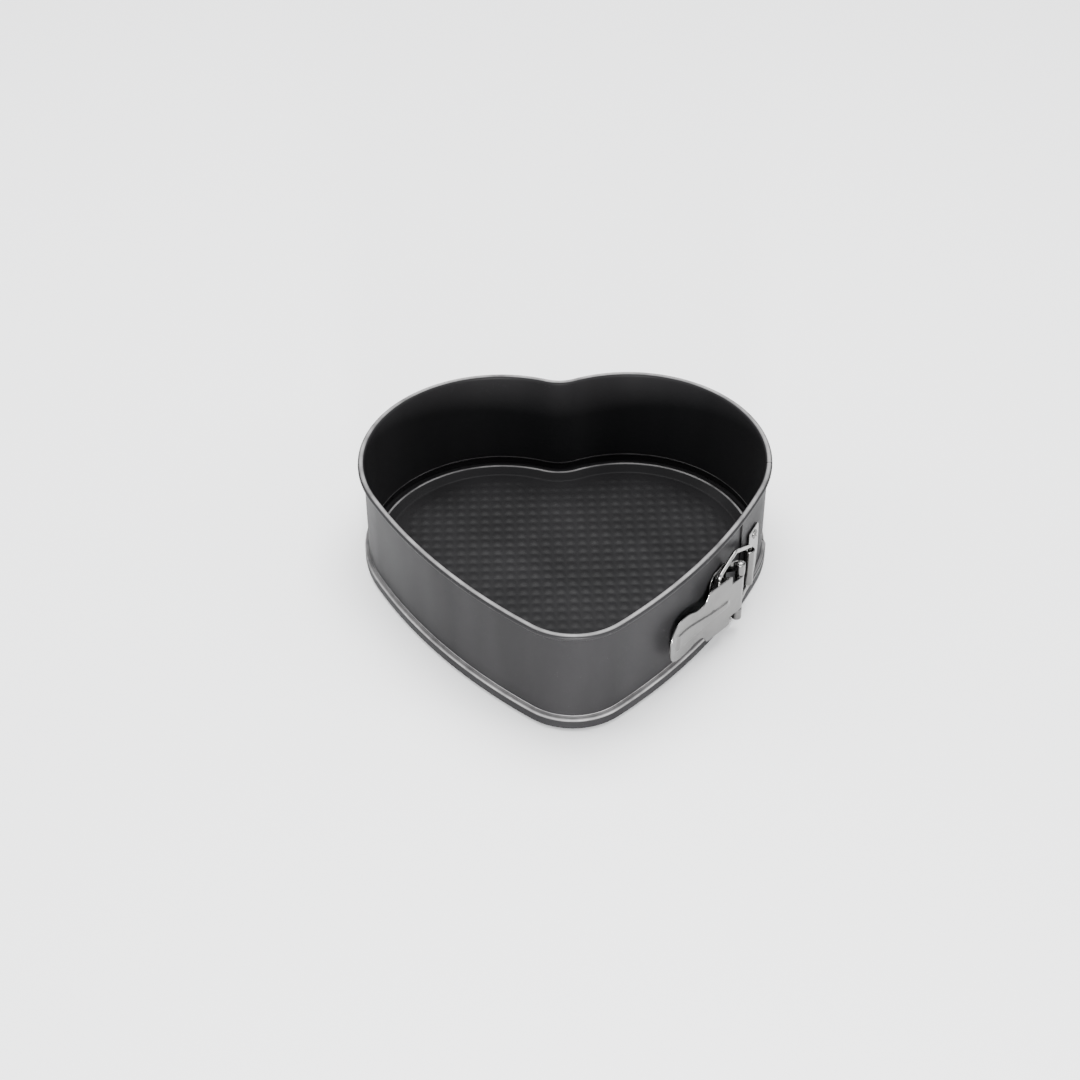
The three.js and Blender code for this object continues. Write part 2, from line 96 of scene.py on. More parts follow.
class PanFinish(bpy.types.PropertyGroup):
    """Colours and gloss of the pan's finishes."""
    coating: shade("Coating", "Non-stick coating", (0.0105, 0.0102, 0.0107))
    # Light colour of the painted highlight bands on the rim, ledge and ridge (partly rubbed wear), also used for
    # the coating's specks
    coating_highlight_and_wear: shade("Highlight and wear coating", "Coating for painted highlight bands, partly where it is rubbed thin", (0.24, 0.235, 0.235))
    plating: shade("Plating", "Bright plated sheet of the latch", (0.15, 0.148, 0.145))
    wire: shade("Wire", "Plated wire of the bail and the hinge pin", (0.3, 0.297, 0.291))
    coating_roughness: bpy.props.FloatProperty(name="Coating roughness", description="Gloss of the coating",
                                               default=0.46, min=0.0, max=1.0)
    plating_roughness: bpy.props.FloatProperty(name="Plating roughness", description="Gloss of the plating",
                                               default=0.17, min=0.0, max=1.0)


def mm(name):
    """A size of the pan in millimetres."""
    return getattr(bpy.context.scene.pan_sizes, name) / MM


# ---- fixed details in millimetres ---------------------------------------------------------------
NEST = 0.3                    # gap between nested sheets
LAP = 0.9                     # how far the band's outer end stands out over its inner end
JOG = 5.0                     # length over which it steps out
OUTER_END = 16.5              # outer end, from the hinge pin towards the lobe
INNER_END = 65.0              # inner end, from the hinge pin towards the lobe
RUNS_MEET = 40.0              # where the two runs meet, down the left side from the end of its lobe
BEND = 1.0                    # centreline radius of the bends at the ledge and the channel
LAP_GAP = 1.8                 # from the rolled rim down to where the full step outwards is reached
LAP_RISE = 1.5                # height over which the wall steps out
LIP_Z = 1.5                   # height of the channel's lip
LIP_IN = 1.2                  # how far the lip reaches in past the wall

FLOOR_EDGE = 9.6              # edge of the tray's level floor, in from the wall
CROWN_IN = 4.2                # crown of the tray's ridge, in from the wall
CROWN_R = 0.9                 # its radius, and that of the bend to the flange
FLANGE_Z = LIP_Z + 1.15       # height of the tray's flange on the lip
TRAY_MIDDLE = np.array([0.0, 8.0])
TINY = 0.004                  # scale of the innermost ring of the tray

PIN_OUT = 8.5                 # hinge pin's axis, out from the wall
PLATE = 1.0                   # thickness of the latch's sheets
KNUCKLE_MID = 2.25            # centreline radius of the rolled knuckles
KNUCKLE_IN = 12.2             # half height of the lever's knuckle
KNUCKLE_TOP = 20.2            # half height of the bracket
LEAN = np.radians(-12)        # slope of the lever's plate towards the band
LEVER_LENGTH = 63.0           # pin to spoon's end
SHOULDER, NECK, SPOON = 18.0, 11.5, 14.0    # half heights along the lever
BEAD_START = 11.0             # raised bead's beginning along the lever
WIRE_AT = np.array([17.0, 4.4])             # wire's tips in the ears: along the wall, and out from it
WIRE_R = 1.2
WIRE_SPREAD = 25.2            # half height of the bail at its widest
WIRE_STEP = 0.45              # spacing of the sections along the wire
CATCH_U = 31.0                # catch plate's place, from the pin towards the lobe
CATCH_X = 10.2                # barrel's axis, from there towards the tip
CATCH_R = 3.1                 # barrel's outer radius
CATCH_HALF = 12.5             # half height of the barrel
CATCH_Y = NEST + CATCH_R
BRACKET_RIVET = (13, 1.05, 14)              # upper rivets: along, out and up; the lower ones mirror them
CATCH_RIVET = (-2.2, 1.3, 13.5)


# ---- heart outline ------------------------------------------------------------------------------


class Outline:
    """The heart's right half as tangent arcs from the notch, round the lobe and down the side to the tip."""

    def __init__(self):
        lr, nr, sr, tr = mm("lobe_r"), mm("notch_r"), mm("side_r"), mm("tip_r")
        self.y0 = (mm("tip_drop") + tr - lr) / 2
        lobe = np.array([mm("lobe_x"), self.y0])
        tip = np.array([0.0, self.y0 - mm("tip_drop")])
        notch = np.array([0.0, self.y0 + np.sqrt((nr + lr) ** 2 - lobe[0] ** 2)])
        gap = np.hypot(*(lobe - tip))
        along = (gap**2 + (sr - tr) ** 2 - (sr - lr) ** 2) / (2 * gap)
        u = (lobe - tip) / gap
        side = tip + u * along + np.array([-u[1], u[0]]) * np.sqrt((sr - tr) ** 2 - along**2)

        def angle(c, p):
            return np.arctan2(p[1] - c[1], p[0] - c[0])

        self.arcs = [
            (notch, nr, -1, -np.pi / 2, angle(notch, lobe)),
            (lobe, lr, 1, angle(lobe, notch), angle(side, lobe)),
            (side, sr, 1, angle(side, lobe), angle(side, tip)),
            (tip, tr, 1, angle(side, tip), -np.pi / 2),
        ]
        self.starts = np.cumsum([0] + [r * abs(a1 - a0) for _, r, _, a0, a1 in self.arcs])
        self.half = self.starts[-1]
        self.loop = 2 * self.half
        self.hinge = self.starts[2] + mm("latch_s")

    def at(self, s):
        """Wall points and outward normals at arc lengths s from the notch, clockwise seen from above."""
        t = np.mod(np.asarray(s, float), self.loop)
        left = t > self.half
        t = np.where(left, self.loop - t, t)
        k = np.clip(np.searchsorted(self.starts, t, side="right") - 1, 0, 3)
        p, n = np.zeros((len(t), 2)), np.zeros((len(t), 2))
        for i, (c, r, sign, a0, a1) in enumerate(self.arcs):
            on = k == i
            a = a0 + np.sign(a1 - a0) * (t[on] - self.starts[i]) / r
            ray = np.c_[np.cos(a), np.sin(a)]
            p[on], n[on] = c + r * ray, sign * ray
        mirror = np.where(left, -1.0, 1.0)
        p[:, 0] *= mirror
        n[:, 0] *= mirror
        return p, n

    def frame(self, s, offset):
        """Matrix of a frame on the wall: X towards the tip, Y straight out, Z up, at latch height."""
        p, n = self.at([s])
        (px, py), (nx, ny) = p[0] + n[0] * offset, n[0]
        return np.array([[ny, nx, 0, px], [-nx, ny, 0, py], [0, 0, 1, mm("latch_z")], [0, 0, 0, 1.0]])


# ---- grids and meshes ---------------------------------------------------------------------------
def arc(x, y, r, a0, a1, n):
    """n + 1 points of an arc, angles in degrees."""
    a = np.radians(np.linspace(a0, a1, n + 1))
    return np.c_[x + r * np.cos(a), y + r * np.sin(a)]


def bezier(p0, p1, p2, p3, n):
    """n + 1 points of a cubic curve."""
    t = np.linspace(0, 1, n + 1)[:, None]
    return ((1 - t) ** 3 * np.array(p0) + 3 * (1 - t) ** 2 * t * np.array(p1)
            + 3 * (1 - t) * t**2 * np.array(p2) + t**3 * np.array(p3))


def step(t):
    """0 below 0, 1 above 1, and 3t^2 - 2t^3 between."""
    t = np.clip(t, 0, 1)
    return t * t * (3 - 2 * t)


def left_normals(line):
    """Unit normals to the left of a polyline, with the mitre's length factor."""
    d = np.diff(line, axis=0)
    d /= np.linalg.norm(d, axis=1)[:, None]
    before, after = np.vstack([d[:1], d]), np.vstack([d, d[-1:]])
    m = before + after
    m /= np.linalg.norm(m, axis=1)[:, None]
    k = np.maximum((m * before).sum(1), 0.5)
    return np.c_[-m[:, 1], m[:, 0]] / k[:, None]


def thicken(line, t):
    """Closed outline of a sheet of thickness t round its centreline."""
    n = left_normals(line) * t / 2
    return np.vstack([line - n, (line + n)[::-1]])


def grid_faces(rows, cols, wrap_rows=False, wrap_cols=True):
    """Quads over a grid of vertices numbered row by row."""
    i = np.arange(rows if wrap_rows else rows - 1)[:, None]
    j = np.arange(cols if wrap_cols else cols - 1)[None]
    i2, j2 = (i + 1) % rows, (j + 1) % cols
    a, b, c, d = i * cols + j, i2 * cols + j, i2 * cols + j2, i * cols + j2
    return np.stack(np.broadcast_arrays(a, d, c, b), -1).reshape(-1, 4)


def loft(sections, wrap=False):
    """Closed surface through sections (rows, cols, 3), counterclockwise about the way it runs, with end caps."""
    rows, cols = sections.shape[:2]
    faces = grid_faces(rows, cols, wrap).tolist()
    if not wrap:
        faces += [list(range(cols))[::-1], [(rows - 1) * cols + j for j in range(cols)]]
    return sections.reshape(-1, 3), faces


def joined(parts):
    """Several (vertices, faces) as one."""
    verts, faces, start = [], [], 0
    for v, f in parts:
        verts.append(v)
        faces += [[i + start for i in face] for face in f]
        start += len(v)
    return np.vstack(verts), faces


def placed(part, matrix):
    """A part's vertices moved from a wall frame to the pan's frame."""
    v, f = part
    return np.c_[v, np.ones(len(v))] @ matrix.T[:, :3], f


def piece(name, part, material, sharp=35):
    """Mesh object at the origin, smooth but for edges sharper than an angle in degrees."""
    v, f = part
    mesh = bpy.data.meshes.new(name)
    mesh.from_pydata((v * MM).tolist(), [], f)
    mesh.shade_smooth()
    mesh.set_sharp_from_angle(angle=np.radians(sharp))
    mesh.materials.append(material)
    mesh.update()
    obj = bpy.data.objects.new(name, mesh)
    bpy.context.scene.collection.objects.link(obj)
    return obj


# ---- band and tray ------------------------------------------------------------------------------
def band_section(grow, rim=True):
    """Section of the band: rolled rim, wall, ledge, channel and lip. grow moves the sheet below the rim
    outwards."""
    sheet, rim_r = mm("sheet"), mm("rim_r")
    wall = -sheet / 2 + grow
    foot, out, ledge = LIP_Z - grow, wall + mm("channel"), mm("ledge_z") + grow
    top = mm("height") - sheet / 2 - rim_r
    lap_top = mm("height") - sheet - 2 * rim_r - LAP_GAP
    curl = np.vstack([arc(rim_r - sheet / 2, top, rim_r, -125, 180, 26), [[-sheet / 2, lap_top + LAP_RISE]]])
    head = np.vstack([curl, [[wall, lap_top]]]) if rim else np.array([[wall, lap_top]])
    z = np.linspace(lap_top, ledge + BEND, 7)[1:-1]
    line = np.vstack([
        head, np.c_[np.full(len(z), wall), z],
        arc(wall + BEND, ledge + BEND, BEND, 180, 270, 6),
        arc(out - BEND, ledge - BEND, BEND, 90, 0, 6),
        arc(out - BEND, foot + BEND, BEND, 0, -90, 6),
        [[-LIP_IN, foot]],
    ])
    return thicken(line, sheet)


def carried(outline, s, sections):
    """Sections of (outward offset, height) carried along the wall: wall point + normal x offset, height up."""
    p, n = outline.at(s)
    sections = np.broadcast_to(sections, (len(s),) + np.shape(sections)[-2:])
    xy = p[:, None] + n[:, None] * sections[..., :1]
    return np.concatenate([xy, sections[..., 1:]], -1)


def tray_part(outline, around=560):
    """Tray as rings: the floor is the inner outline scaled towards the middle, its height a product of cosines
    over a square grid; the rim is a section carried along the wall; the underside closes it."""
    t, half = mm("tray_sheet"), mm("tray_sheet") / 2
    ridge, sweep = mm("ridge_z") - half, 2.2
    line = np.vstack([
        [[-FLOOR_EDGE, half]], arc(-FLOOR_EDGE, half + sweep, sweep, -85, -32, 5),
        [[-CROWN_IN - 1, ridge - 0.7]], arc(-CROWN_IN, ridge - CROWN_R, CROWN_R, 130, 20, 8),
        arc(-1.2, FLANGE_Z + CROWN_R, CROWN_R, 200, 270, 4), [[mm("channel") - 1.3, FLANGE_Z]],
    ])
    n = left_normals(line) * t / 2
    upper, lower = line + n, (line - n)[::-1]
    s = np.linspace(0, outline.loop, around, endpoint=False)
    p, nrm = outline.at(s)
    edge = p + nrm * line[0, 0] - TRAY_MIDDLE
    pitch = mm("bump_pitch")

    def ripple(along):
        return np.abs(np.cos(np.pi * (along / pitch - 0.5)))

    def floor(scale, z, raised):
        xy = TRAY_MIDDLE + edge[:, None] * scale[None, :, None]
        h = np.full(xy.shape[:2], z)
        if raised:
            wave = ripple(xy[..., 0]) * ripple(xy[..., 1])
            reach = (1 - scale)[None] * np.linalg.norm(edge, axis=1)[:, None]
            border = step((reach - (mm("bump_inset") - FLOOR_EDGE)) / 3.0)
            h = h + mm("bump_height") * wave**1.5 * border
        return np.concatenate([xy, h[..., None]], -1)

    def rim(section):
        return np.concatenate([p[:, None] + nrm[:, None] * section[None, :, :1],
                               np.broadcast_to(section[None, :, 1:], (around, len(section), 1))], -1)

    top_scale, under_scale = np.linspace(TINY, 1, 113)[:-1], np.linspace(1, TINY, 9)[1:]
    rows = [floor(top_scale, t, True), rim(upper), rim(lower), floor(under_scale, 0.0, False)]
    grid = np.concatenate(rows, 1)
    v = grid.reshape(-1, 3)
    cols = grid.shape[1]
    f = grid_faces(around, cols, True, False)[:, ::-1].tolist()
    first = [i * cols for i in range(around)]
    last = [i * cols + cols - 1 for i in range(around)]
    centre = len(v)
    v = np.vstack([v, [[*TRAY_MIDDLE, t]], [[*TRAY_MIDDLE, 0.0]]])
    f += [[centre, b, a] for a, b in zip(first, first[1:] + first[:1])]
    f += [[centre + 1, a, b] for a, b in zip(last, last[1:] + last[:1])]
    return v, f


# ---- latch shapes -------------------------------------------------------------------------------
def bent_sheet(line, low, high, t=PLATE, relief=None, across=25):
    """Sheet bent along a line in XY: at each point a rounded bar of thickness t from z = low to high, moved
    out along the line's normal by relief(x, z)."""
    n = left_normals(line)
    w = np.linspace(0, 1, across)
    r = t / 2
    turn = np.radians(np.linspace(90, -90, 7))[1:-1]
    low, high = np.broadcast_to(low, len(line)), np.broadcast_to(high, len(line))
    span = np.maximum(high - low - 2 * r, 0.02)
    mid = (low + high) / 2
    z_flat = mid[:, None] + (w[None] - 0.5) * span[:, None]
    ends = [mid + span / 2, mid - span / 2]
    z = np.hstack([z_flat, ends[0][:, None] + r * np.cos(turn)[None], z_flat[:, ::-1],
                   ends[1][:, None] - r * np.cos(turn)[None]])
    y = np.hstack([np.full(z_flat.shape, r), np.tile(r * np.sin(turn), (len(line), 1)),
                   np.full(z_flat.shape, -r), np.tile(-r * np.sin(turn), (len(line), 1))])
    if relief is not None:
        y = y + relief(np.broadcast_to(line[:, :1], z.shape), z)
    xy = line[:, None] + n[:, None] * y[..., None]
    sections = np.concatenate([xy, z[..., None]], -1)
    return loft(sections[:, ::-1])


def flat_plate(outline, z0, z1, chamfer=0.25):
    """Flat plate over a closed outline in XY, with chamfered edges."""
    n = left_normals(np.vstack([outline[-1:], outline, outline[:1]]))[1:-1]
    inner = outline + n * chamfer
    rings = [(inner, z0), (outline, z0 + chamfer), (outline, z1 - chamfer), (inner, z1)]
    return loft(np.stack([np.c_[ring, np.full(len(ring), z)] for ring, z in rings]))


def lever_part():
    """Lever: a sheet rolled round the pin, leaning plate, stepped outline, spoon curve, raised bead and two
    ears."""
    start = np.array([-KNUCKLE_MID * np.sin(LEAN), PIN_OUT + KNUCKLE_MID * np.cos(LEAN)])
    slope = np.tan(LEAN)
    bend_x = LEVER_LENGTH * 0.62

    def plate(x):
        return start[1] + (x - start[0]) * slope

    end_y = plate(bend_x) - 2.6
    curve = bezier((bend_x, plate(bend_x)), (bend_x + 7, plate(bend_x + 7)), (LEVER_LENGTH - 9, end_y - 0.6),
                   (LEVER_LENGTH, end_y + 0.3), 30)
    edge = np.vstack([
        [[3.0, KNUCKLE_IN], [9.9, KNUCKLE_IN], [10.0, SHOULDER - 0.6], [10.3, SHOULDER]],
        arc(28.0, SHOULDER - 1.5, 1.5, 90, 15, 5), arc(35.5, NECK + 5, 5, 200, 268, 9),
        bezier((37, NECK), (43, NECK + 0.5), (42, SPOON), (50, SPOON), 12)[1:],
        arc(51, SPOON - 12, 12, 86, 4, 18), [[LEVER_LENGTH, 0.6]],
    ])
    edge = edge[np.argsort(edge[:, 0], kind="stable")]
    x = np.unique(np.concatenate([np.linspace(start[0], LEVER_LENGTH, 90), edge[:, 0]]))
    x = x[np.concatenate([[True], np.diff(x) > 0.04])]
    y = np.where(x < bend_x, plate(x), np.interp(x, curve[:, 0], curve[:, 1]))
    curl = arc(0, PIN_OUT, KNUCKLE_MID, np.degrees(LEAN) - 210, np.degrees(LEAN) + 86, 24)
    line = np.vstack([curl, np.c_[x, y][1:]])
    half = np.concatenate([np.full(len(curl), KNUCKLE_IN), np.interp(x, edge[:, 0], edge[:, 1])[1:]])

    def relief(px, pz):
        wide = 2.6 + 3.4 * step((px - 20) / 30)
        across = step((1 - np.abs(pz) / wide) / 0.24)
        return across * step((px - BEAD_START) / 3) * (1 - step((px - LEVER_LENGTH + 9) / 3))

    parts = [bent_sheet(line, -half, half, relief=relief, across=61)]
    ear = np.vstack([[[11.0, plate(11.0)]], arc(*WIRE_AT, 2.8, 205, 335, 14), [[27.5, plate(27.5)]]])
    for z0 in (SHOULDER - PLATE, -SHOULDER):
        parts.append(flat_plate(ear, z0, z0 + PLATE))
    return joined(parts)


def bracket_part():
    """Bracket: a plate on the band, and two legs that rise at 45 degrees and roll round the pin."""
    y, c = NEST + PLATE / 2, KNUCKLE_MID * np.sqrt(0.5)
    leg_x = -c + (PIN_OUT - c - y)
    flat = bezier((leg_x - 0.9, y + 0.9), (leg_x - 0.3, y + 0.3), (leg_x + 0.4, y), (leg_x + 1.2, y - 0.03), 8)
    xs = np.array([8, 12, 15, 16.5, 17.5, 18.5, 19.3, 19.9, 20.3, 20.5])
    run = np.c_[xs, y - 0.5 * (xs - leg_x) / (20.5 - leg_x)]
    half = KNUCKLE_TOP - np.interp(run[:, 0], [8, 15, 18, 19.9, 20.3, 20.5], [0, 0, 1.2, 6, 8, 11])
    plate = bent_sheet(np.vstack([flat, run]), -np.r_[np.full(9, KNUCKLE_TOP), half],
                       np.r_[np.full(9, KNUCKLE_TOP), half])
    roll = arc(0, PIN_OUT, KNUCKLE_MID, -70, 225, 26)
    leg = np.vstack([roll, bezier((-c, PIN_OUT - c), (-c + 1, PIN_OUT - c - 1), (leg_x - 1.6, y + 1.6),
                                  (leg_x - 0.6, y + 0.6), 6)[1:], flat[3:]])
    return joined([plate] + [bent_sheet(leg, a, b) for a, b in ((KNUCKLE_IN + 0.5, KNUCKLE_TOP),
                                                               (-KNUCKLE_TOP, -KNUCKLE_IN - 0.5))])


def catch_part():
    """Catch plate: a plate with a bowed end, rolled into a barrel at the other."""
    y, r = NEST + PLATE / 2, CATCH_R - PLATE / 2
    xs = np.array([-8.8, -8.7, -8.4, -7.9, -7.2, -6.2, -4, 0, 4, 6.1, 6.2, 8])
    half = np.interp(xs, [-8.8, -8.7, -8.4, -7.9, -7.2, -6.2, 6.1, 6.2],
                     [2, 5, 9, 15.5, 18, 18.8, 18.8, CATCH_HALF])
    roll = arc(CATCH_X, CATCH_Y, r, -90, 215, 34)
    line = np.vstack([np.c_[xs, np.full(len(xs), y)], roll])[::-1]
    half = np.r_[half, np.full(len(roll), CATCH_HALF)][::-1]
    return bent_sheet(line, -half, half, across=31)


def rivet_part(x, y, z):
    """Star rivet: height over a disc, a domed middle in six petals with hollows between them."""
    r, a = np.meshgrid(np.linspace(0.02, 1, 24), np.radians(np.arange(0, 360, 5)))
    petal = 0.5 + 0.5 * np.cos(6 * a)
    radius = (2.35 + 0.6 * petal) * r
    dome = 0.9 * (1 - step(r / 0.62)) + (0.25 + 0.5 * petal) * np.exp(-((r - 0.74) / 0.2) ** 2)
    h = np.where(r > 0.97, 0.0, dome + 0.18)
    top = np.stack([x + radius * np.cos(a), y + h, z - radius * np.sin(a)], -1)
    wall = top[:, -1:].copy()
    wall[..., 1] = y - 1.6
    grid = np.concatenate([top, wall], 1)
    v, cols = grid.reshape(-1, 3), grid.shape[1]
    f = grid_faces(len(a), cols, True, False)[:, ::-1].tolist()
    f.append([i * cols for i in range(len(a))][::-1])
    f.append([i * cols + cols - 1 for i in range(len(a))])
    return v, f


def tube(path, r, sides=20):
    """Round wire along a path that lies in the XZ plane: centre + r (cos a x in-plane normal + sin a x Y)."""
    d = np.gradient(path, axis=0)
    d /= np.linalg.norm(d, axis=1)[:, None]
    a = np.linspace(0, 2 * np.pi, sides, endpoint=False)
    x = path[:, None, 0] - d[:, None, 1] * r[:, None] * np.cos(a)
    z = path[:, None, 1] + d[:, None, 0] * r[:, None] * np.cos(a)
    y = np.broadcast_to(r[:, None] * np.sin(a), x.shape)
    return loft(np.stack([x, y, z], -1)[:, ::-1])


def rounded(corners, radius, n=10):
    """Polyline with its corners replaced by quadratic curves."""
    out = [corners[:1]]
    for a, p, b in zip(corners[:-2], corners[1:-1], corners[2:]):
        u, w = (a - p) / np.linalg.norm(a - p), (b - p) / np.linalg.norm(b - p)
        cut = radius / np.tan(np.arccos(u @ w) / 2)
        t = np.linspace(0, 1, n + 1)[:, None]
        out.append((1 - t) ** 2 * (p + u * cut) + 2 * (1 - t) * t * p + t**2 * (p + w * cut))
    return np.vstack(out + [corners[-1:]])


def resampled(path, gap):
    """The same path with points a gap apart."""
    s = np.r_[0, np.cumsum(np.linalg.norm(np.diff(path, axis=0), axis=1))]
    t = np.linspace(0, s[-1], int(s[-1] / gap) + 1)
    return np.c_[np.interp(t, s, path[:, 0]), np.interp(t, s, path[:, 1])]


def bail_part(reach):
    """Wire bail: one bent wire in a plane, its ends hooked in through the lever's ears."""
    half = np.array([[reach, SHOULDER - 2.6], [reach, SHOULDER + 3.1], [19.5, WIRE_SPREAD],
                     [0, CATCH_HALF + 2.2]])
    loop = np.vstack([half, (half * [1, -1])[::-1]])
    path = resampled(rounded(loop, 2.2), WIRE_STEP)
    s = np.arange(len(path)) * WIRE_STEP
    end = np.minimum(s, s[::-1])
    r = WIRE_R * np.sqrt(1 - np.clip(1 - end / 0.9, 0, 0.97) ** 2)
    return tube(path, r)


def lathe(profile, sides=40):
    """Profile of (radius, z) turned about the Z axis, its ends on the axis."""
    a = np.linspace(0, 2 * np.pi, sides, endpoint=False)
    inner = profile[1:-1]
    grid = np.stack([inner[None, :, 0] * np.cos(a)[:, None], inner[None, :, 0] * np.sin(a)[:, None],
                     np.broadcast_to(inner[None, :, 1], (sides, len(inner)))], -1)
    v, cols = grid.reshape(-1, 3), len(inner)
    f = grid_faces(sides, cols, True, False)[:, ::-1].tolist()
    f += [[i * cols for i in range(sides)], [i * cols + cols - 1 for i in range(sides)][::-1]]
    return v, f


def pin_part():
    """Hinge pin: a shank between two domed heads."""
    top = KNUCKLE_TOP + 0.2
    head = np.array([[0, top + 0.6], [0.6, top + 0.58], [1.3, top + 0.48], [1.75, top + 0.3], [1.95, top + 0.12],
                     [1.95, top], [1.4, top - 0.02]])
    return lathe(np.vstack([(head * [1, -1]), head[::-1]]))


# ---- materials ----------------------------------------------------------------------------------
class Nodes:
    """Short way to lay out a node tree."""

    def __init__(self, tree):
        self.tree = tree

    def add(self, kind, inputs=(), **settings):
        """A node with its settings, its inputs linked to sockets or set to values."""
        node = self.tree.nodes.new(kind)
        for key, value in settings.items():
            setattr(node, key, value)
        for key, value in dict(inputs).items():
            socket = node.inputs[key]
            if isinstance(value, bpy.types.NodeSocket):
                self.tree.links.new(value, socket)
            else:
                socket.default_value = value
        return node

    def math(self, operation, a, b=0.0, clamp=False):
        """Output of a math node."""
        return self.add("ShaderNodeMath", {0: a, 1: b}, operation=operation, use_clamp=clamp).outputs[0]

    def mix(self, factor, a, b):
        """Output of a colour mix from a to b."""
        return self.add("ShaderNodeMix", {0: factor, 6: a, 7: b}, data_type="RGBA").outputs[2]

    def ramp(self, value, low, high, out_low=0.0, out_high=1.0):
        """A value mapped from one range to another, held at the ends."""
        return self.add("ShaderNodeMapRange", {"Value": value, "From Min": low, "From Max": high,
                                               "To Min": out_low, "To Max": out_high}).outputs[0]


def effect(name, inputs, outputs, build):
    """A shader node group with named inputs and outputs, built once."""
    group = bpy.data.node_groups.get(name)
    if group is None:
        group = bpy.data.node_groups.new(name, "ShaderNodeTree")
        for key, (kind, value) in inputs.items():
            socket = group.interface.new_socket(key, in_out="INPUT", socket_type=kind)
            if value is not None:
                socket.default_value = value
        for key, kind in outputs.items():
            group.interface.new_socket(key, in_out="OUTPUT", socket_type=kind)
        n = Nodes(group)
        given = n.add("NodeGroupInput").outputs
        out = n.add("NodeGroupOutput")
        for key, socket in build(n, given).items():
            group.links.new(socket, out.inputs[key])
    return group


FLOAT, VECTOR = "NodeSocketFloat", "NodeSocketVector"


def coating_skin(n, given):
    """Fine orange-peel of a sprayed coating with sparse specks."""
    peel = n.add("ShaderNodeTexNoise", {"Vector": given["Vector"], "Scale": given["Scale"], "Detail": 2.0})
    speck = n.add("ShaderNodeTexVoronoi", {"Vector": given["Vector"], "Scale": given["Speck Scale"]})
    dots = n.ramp(speck.outputs["Distance"], 0.05, 0.16, 1.0, 0.0)
    pick = n.ramp(n.add("ShaderNodeTexNoise", {"Vector": given["Vector"], "Scale": 90.0}).outputs[0], 0.56, 0.66)
    dots = n.math("MULTIPLY", dots, pick)
    return {"Height": n.math("ADD", peel.outputs[0], n.math("MULTIPLY", dots, 0.2)), "Specks": dots}


def handling(n, given):
    """Cloudy smears left by wiping and handling: broad noise broken by a finer one."""
    broad = n.add("ShaderNodeTexNoise", {"Vector": given["Vector"], "Scale": given["Scale"], "Detail": 4.0,
                                         "Distortion": 0.6})
    fine_scale = n.math("MULTIPLY", given["Scale"], 9.0)
    fine = n.add("ShaderNodeTexNoise", {"Vector": given["Vector"], "Scale": fine_scale, "Detail": 3.0})
    cloud = n.ramp(broad.outputs[0], 0.42, 0.68)
    return {"Mask": n.math("MULTIPLY", cloud, n.ramp(fine.outputs[0], 0.3, 0.7, 0.55, 1.0))}


def painted_sheen_bands(n, given):
    """Soft upright bands of painted sheen, with a slight change of gloss: broad noise drawn out along Z."""
    drawn = n.add("ShaderNodeMapping", {"Vector": given["Vector"], "Scale": (26.0, 26.0, 4.0)}).outputs[0]
    broad = n.add("ShaderNodeTexNoise", {"Vector": drawn, "Scale": 1.0, "Detail": 2.0}).outputs[0]
    return {"Mask": n.ramp(broad, 0.4, 0.66)}


def highlight_and_wear_band(n, given):
    """Painted highlight bands at given heights, partly rubbed wear: a narrow lighter band round each height,
    broken by noise.
    """
    z = n.add("ShaderNodeSeparateXYZ", {0: given["Vector"]}).outputs[2]
    near = n.math("ABSOLUTE", n.math("SUBTRACT", z, given["Height"]))
    band = n.math("SUBTRACT", 1.0, n.math("DIVIDE", near, given["Width"]), clamp=True)
    noise = n.add("ShaderNodeTexNoise", {"Vector": given["Vector"], "Scale": 70.0, "Detail": 4.0})
    return {"Mask": n.math("MULTIPLY", band, n.ramp(noise.outputs[0], 0.1, 0.6), clamp=True)}


def brushed(n, given):
    """Fine streaks along one direction: noise squeezed across it."""
    streaks = n.add("ShaderNodeTexNoise", {"Vector": given["Vector"], "Scale": 1.0, "Detail": 6.0,
                                           "Roughness": 0.7})
    scratch = n.add("ShaderNodeTexNoise", {"Vector": given["Vector"], "Scale": 0.35, "Detail": 2.0})
    fine = n.ramp(scratch.outputs[0], 0.6, 0.72)
    return {"Streaks": n.math("ADD", streaks.outputs[0], n.math("MULTIPLY", fine, 0.3))}


def surface(name):
    """A new material with its node helper, object coordinates and Principled shader."""
    material = bpy.data.materials.new(name)
    material.use_nodes = True
    tree = material.node_tree
    tree.nodes.clear()
    n = Nodes(tree)
    out = n.add("ShaderNodeOutputMaterial")
    shader = n.add("ShaderNodeBsdfPrincipled")
    tree.links.new(shader.outputs[0], out.inputs[0])
    where = n.add("ShaderNodeTexCoord").outputs["Object"]
    return material, n, where, shader


def use(n, name, inputs, outputs, build, values):
    """Places an effect in a material with its own values."""
    group = n.add("ShaderNodeGroup", node_tree=effect(name, inputs, outputs, build))
    for key, value in values.items():
        if isinstance(value, bpy.types.NodeSocket):
            n.tree.links.new(value, group.inputs[key])
        else:
            group.inputs[key].default_value = value
    return group.outputs


def skin_effect(n, where, scale):
    """Heights and specks of the coating."""
    inputs = {"Vector": (VECTOR, None), "Scale": (FLOAT, 900.0), "Speck Scale": (FLOAT, 700.0)}
    return use(n, "coating_skin", inputs, {"Height": FLOAT, "Specks": FLOAT}, coating_skin,
               {"Vector": where, "Scale": scale})


def handling_effect(n, where, scale):
    """Mask of the smears."""
    return use(n, "handling", {"Vector": (VECTOR, None), "Scale": (FLOAT, 18.0)}, {"Mask": FLOAT}, handling,
               {"Vector": where, "Scale": scale})["Mask"]


def highlight_and_wear_effect(n, where, height, width):
    """Mask of one painted highlight band, partly rubbed wear."""
    return use(n, "highlight_and_wear_band", {"Vector": (VECTOR, None), "Height": (FLOAT, 0.07), "Width": (FLOAT, 0.001)},
               {"Mask": FLOAT}, highlight_and_wear_band, {"Vector": where, "Height": height, "Width": width})["Mask"]


